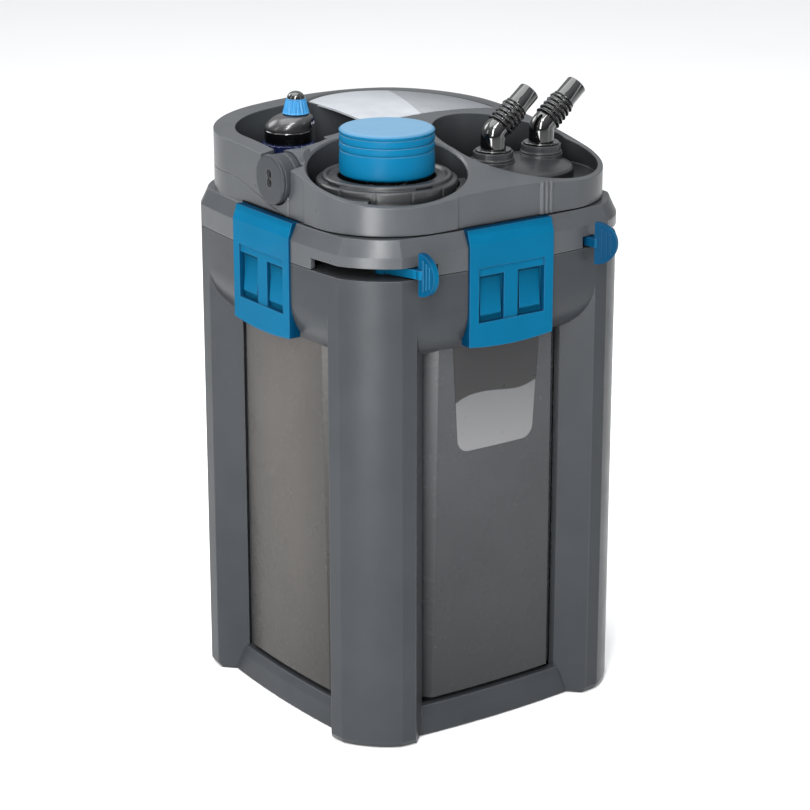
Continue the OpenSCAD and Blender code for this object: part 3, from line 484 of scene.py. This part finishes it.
def heater():
    """Band, leaning dome with a scale window, and ribbed ring. The dome's top leans towards the knob."""
    x, y = HEATER
    lean = Vector((KNOB[0] - x, KNOB[1] - y)) * 0.9
    foot, swell, dome_h = 8.6, 9.3, 9.4

    def on_dome(rise, angle, out):
        """A place on the dome at a share of its height, out by a little from its surface."""
        radius = foot + swell * math.sqrt(1 - rise * rise) + out
        away = Vector((radius * math.cos(angle), radius * math.sin(angle)))
        return Vector((*(Vector(HEATER) + lean * rise + away), DOME + dome_h * rise)) * MM

    band = [(14.1, 420.7), (17.6, 420.7, 0.4), (18.0, 421.4), (18.0, 429.2, 0.5), (17.2, 430.0), (12, 430.0)]
    lathe("heater_band", band, (x, y, 0), "heater", "gloss", "black_plastic", ("heater_head",))
    profile = [(17.3, DOME - 2.2), (17.9, DOME - 1.6, 0.6), (17.9, DOME)]
    for step in range(1, 11):
        angle = math.radians(9 * step)
        profile.append((foot + swell * math.cos(angle), DOME + dome_h * math.sin(angle)))
    profile += [(0, DOME + 9.5)]
    dome = lathe_mesh("heater_dome", profile, (0, 0, 0))
    for vertex in dome.vertices:
        rise = max(0.0, (vertex.co.z / MM - DOME) / dome_h)
        vertex.co.x += (x + lean.x * rise) * MM
        vertex.co.y += (y + lean.y * rise) * MM
    add("heater_dome", dome, "heater", "satin")
    # Scale window on the side that faces front right
    window = bmesh.new()
    rows, columns = 6, 10
    rises = [(0.4 + 6.2 * row / rows) / dome_h for row in range(rows + 1)]
    angles = [math.radians(-62 + 44 * column / columns) for column in range(columns + 1)]
    grid = [[window.verts.new(on_dome(rise, angle, 0.25)) for angle in angles] for rise in rises]
    for low, high in zip(grid, grid[1:]):
        for corners in zip(low, low[1:], high[1:], high):
            window.faces.new(corners)
    add("heater_window", to_mesh(window, "heater_window"), "heater", "navy")
    for index in range(5):
        angle = math.radians(-58 + 9 * index)
        height = 2.6 if index % 2 == 0 else 1.5
        bm = bmesh.new()
        bmesh.ops.create_cube(bm, size=1)
        bmesh.ops.scale(bm, vec=(0.3 * MM, 0.5 * MM, height * MM), verts=bm.verts)
        bmesh.ops.rotate(bm, matrix=Matrix.Rotation(angle, 3, "Z"), verts=bm.verts)
        bmesh.ops.bevel(bm, geom=list(bm.edges), offset=0.06 * MM, segments=1, affect="EDGES")
        bmesh.ops.translate(bm, vec=on_dome(3.2 / dome_h, angle, 0.3), verts=bm.verts)
        add(f"heater_mark_{index}", to_mesh(bm, f"heater_mark_{index}"), "heater", "mark")

    def ribbed(radius, height, angle):
        return radius + (0.7 * math.sin(angle * 24) ** 3 if 409 < height < 420 and radius > 19 else 0)

    ring = [(14.1, 400.4), (20.6, 400.4, 0.4), (21, 401), (21, 405.9, 0.4), (19.4, 406.2), (19.4, 409),
            (19.6, 409.6), (19.6, 419.8, 0.3), (18.8, 420.4), (14.1, 420.4)]
    lathe("heater_ring_ribbed", ring, (x, y, 0), "heater", "navy", "blue_plastic", ("heater_ring",),
          shape=ribbed, steps=288)


def knob():
    """Fluted cone with a glossy round tip."""
    low, high = 441.9, 453.2
    tip_r = 6.75

    def fluted(radius, height, angle):
        depth = 0.75 if low + 0.5 < height < high - 0.4 and radius > 5 else 0.0
        return radius - depth * (0.5 - 0.5 * math.cos(angle * 20)) ** 0.6

    profile = [(0, low), (9.9, low, 0.3), (10.15, low + 0.4)]
    for step in range(1, 11):
        t = step / 11
        profile.append((10.15 - 2.75 * t, low + 0.4 + (high - low - 0.8) * t))
    profile += [(7.3, high - 0.3, 0.3), (6.6, high), (0, high)]
    lathe("knob_fluted", profile, (*KNOB, 0), "knob", "knob", "blue_plastic", ("heater_knob",), 50,
          shape=fluted, steps=320)
    tip = [(tip_r, high + 0.1)]
    for step in range(0, 13):
        angle = math.radians(7.5 * step)
        tip.append((tip_r * math.cos(angle), high + 0.2 + 5.3 * math.sin(angle)))
    lathe("knob_tip_dome", tip, (*KNOB, 0), "knob", "gloss", "black_plastic", ("knob_tip",))


# ---- Hose elbows ----

def elbow(name):
    """Stub, bend and ribbed tail in one swept tube, with its clamping disc."""
    x = PORTS[name]
    bend_r = 6.0
    sweep = math.pi / 2 - TAIL_TILT
    bend_low = BEND_Z - bend_r * math.tan(sweep / 2)
    stub = ((404.7, 7.6), (405.1, 8.0), (409, 8.0), (409.2, 11.4), (415.4, 11.4), (415.6, 9.5),
            (bend_low, 9.5))
    stations = [(Vector((0, 0, height)), 0.0, radius) for height, radius in stub]
    for step in range(1, 11):
        angle = sweep * step / 10
        point = Vector((bend_r * (1 - math.cos(angle)), 0, bend_low + bend_r * math.sin(angle)))
        stations.append((point, angle, 9.5 - 0.02 * step))

    def tail(distance, radius):
        point = Vector((math.cos(TAIL_TILT) * distance, 0, BEND_Z + math.sin(TAIL_TILT) * distance))
        stations.append((point, sweep, radius))

    tail(6.0, 9.3)
    for rib in range(5):
        start = 6.6 + 3.9 * rib
        peak = 10.6 - 0.12 * rib
        for along, radius in ((0, 8.7), (0.9, peak - 0.35), (1.35, peak), (1.75, peak - 0.1), (3.0, 9.5),
                              (3.4, 8.7)):
            tail(start + along, radius)
    for along, radius in ((26.3, 8.0), (26.5, 8.7), (26.8, 8.95), (27.5, 8.9), (27.7, 8.2),
                          (42.2, 8.2), (42.7, 8.05), (43.0, 7.7), (43.0, 5.7), (42.7, 5.3), (20.0, 5.2)):
        tail(along, radius)
    bm = bmesh.new()
    steps = 96
    rings = []
    for point, angle, radius in stations:
        centre = point + Vector((x, -WELL, 0))
        across = Vector((math.cos(angle), 0, -math.sin(angle))) * radius
        back = Vector((0, radius, 0))
        turns = [2 * math.pi * step / steps for step in range(steps)]
        rings.append([bm.verts.new((centre + across * math.cos(a) + back * math.sin(a)) * MM) for a in turns])
    for low, high in zip(rings, rings[1:]):
        for step in range(steps):
            nxt = (step + 1) % steps
            bm.faces.new((low[step], low[nxt], high[nxt], high[step]))
    bm.faces.new(rings[0])
    bm.faces.new(rings[-1])
    add(name + "_tube", to_mesh(bm, name + "_tube"), name, "gloss", (name,), 28)
    disc = [(9.4, 423.6), (13.0, 423.6, 0.3), (13.4, 424.0), (13.4, 424.5, 0.3), (12.9, 424.85),
            (11.2, 424.85, 0.3), (10.6, 424.3), (9.4, 424.3)]
    lathe(name + "_disc", disc, (x, -WELL, 0), name, "gloss", "black_plastic")


# ---- Cable gland ----

def gland():
    """Round gland with two cord slots in its face."""
    profile = [(0, 0.15), (16.8, 0.0, 0.8), (18.3, 0.7, 0.8), (18.45, 2.9, 0.3), (17.3, 3.1), (17.3, 3.7),
               (17.75, 3.9, 0.2), (17.75, 12.0), (17.1, 12.3), (17.1, 12.9), (17.75, 13.2), (17.75, 17.4),
               (0, 17.4)]
    turn = Matrix.Rotation(math.radians(90), 4, "Y")
    obj = lathe("gland_barrel", profile, GLAND, "head_unit", "frame", "frame_plastic", ("cable_gland",),
                turn=turn)
    for index, shift in enumerate((-3.3, 3.3)):
        cut = lathe_mesh(f"slot_{index}", [(0, -2), (3.5, -2), (3.5, 9), (0, 9)],
                         (GLAND[0], GLAND[1], GLAND[2] + 1 + shift), steps=48, turn=turn)
        cutter = bpy.data.objects.new(f"slot_cutter_{index}", cut)
        bpy.context.scene.collection.objects.link(cutter)
        hole = obj.modifiers.new("slot", "BOOLEAN")
        hole.operation = "DIFFERENCE"
        hole.solver = "EXACT"
        hole.object = cutter
    bpy.context.view_layer.update()
    done = bpy.data.meshes.new_from_object(obj.evaluated_get(bpy.context.evaluated_depsgraph_get()))
    obj.modifiers.clear()
    obj.data = done
    for cutter in [o for o in bpy.data.objects if o.name.startswith("slot_cutter_")]:
        bpy.data.objects.remove(cutter)
    done.shade_smooth()
    done.set_sharp_from_angle(angle=math.radians(35))


primer_cap()
heater()
knob()
for port in PORTS:
    elbow(port)
gland()


# ---- Stage, light and camera ----

def floor():
    material = surface("floor_pale", (0.88, 0.88, 0.88), 0.7, vary=0.01, patch=0.5, grain=0.0, edge=0.0)
    mesh = bpy.data.meshes.new("floor")
    half = 9.0
    corners = [(-half, -half, 0), (half, -half, 0), (half, half, 0), (-half, half, 0)]
    mesh.from_pydata(corners, [], [(0, 1, 2, 3)])
    obj = bpy.data.objects.new("floor", mesh)
    bpy.context.scene.collection.objects.link(obj)
    mesh.materials.append(material)


def lamp(name, place, aim, size, power, colour=(1, 1, 1)):
    data = bpy.data.lights.new(name, "AREA")
    data.shape = "RECTANGLE"
    data.size, data.size_y = size
    data.energy = power
    data.color = colour
    obj = bpy.data.objects.new(name, data)
    obj.location = place
    obj.rotation_euler = (Vector(aim) - Vector(place)).to_track_quat("-Z", "Y").to_euler()
    bpy.context.scene.collection.objects.link(obj)


floor()
middle = (0, 0, 0.25)
lamp("key_front", (-1.35, -1.35, 1.25), middle, (0.4, 1.3), 38, (1.0, 0.99, 0.98))
lamp("left_strip", (-2.1, 0.4, 0.9), middle, (0.3, 1.6), 7, (1.0, 0.97, 0.93))
lamp("fill_right", (1.3, -1.9, 0.8), middle, (0.3, 1.6), 4, (0.95, 0.98, 1.0))
lamp("top", (-0.3, 0.3, 2.4), middle, (2.0, 2.0), 44)
lamp("low_card", (-0.76, -0.56, 0.2), (-0.09, -0.09, 0.25), (0.3, 0.34), 4.5)
lamp("rear_left", (-0.56, 1.4, 1.3), (0, 0, 0.38), (0.8, 0.6), 8)
lamp("upper_front", (-0.62, -0.8, 1.72), (0, 0, 0.44), (0.45, 0.45), 13)
world = bpy.data.worlds.new("studio")
world.use_nodes = True
sky = world.node_tree
rise = node(sky, "SeparateXYZ")
sky.links.new(node(sky, "TexCoord").outputs["Generated"], rise.inputs[0])
height = ramp(sky, rise.outputs["Z"], 0.05, 0.75, 0, 1)
sky_colour = mix(sky, height, (0.2, 0.205, 0.21), (0.98, 0.99, 1.0))
sky.links.new(sky_colour, sky.nodes["Background"].inputs["Color"])
sky.nodes["Background"].inputs["Strength"].default_value = 1.05
bpy.context.scene.world = world
bpy.context.scene.view_settings.view_transform = "Standard"

camera_data = bpy.data.cameras.new("camera")
camera_data.lens = 116.82
camera_data.sensor_width = 36
camera_data.clip_end = 60
camera = bpy.data.objects.new("camera", camera_data)
camera.location = (-1.1088, -1.5694, 0.8485)
look = Vector((-0.0013, 0.0009, 0.2169)) - camera.location
camera.rotation_euler = look.to_track_quat("-Z", "Y").to_euler()
bpy.context.scene.collection.objects.link(camera)
bpy.context.scene.camera = camera
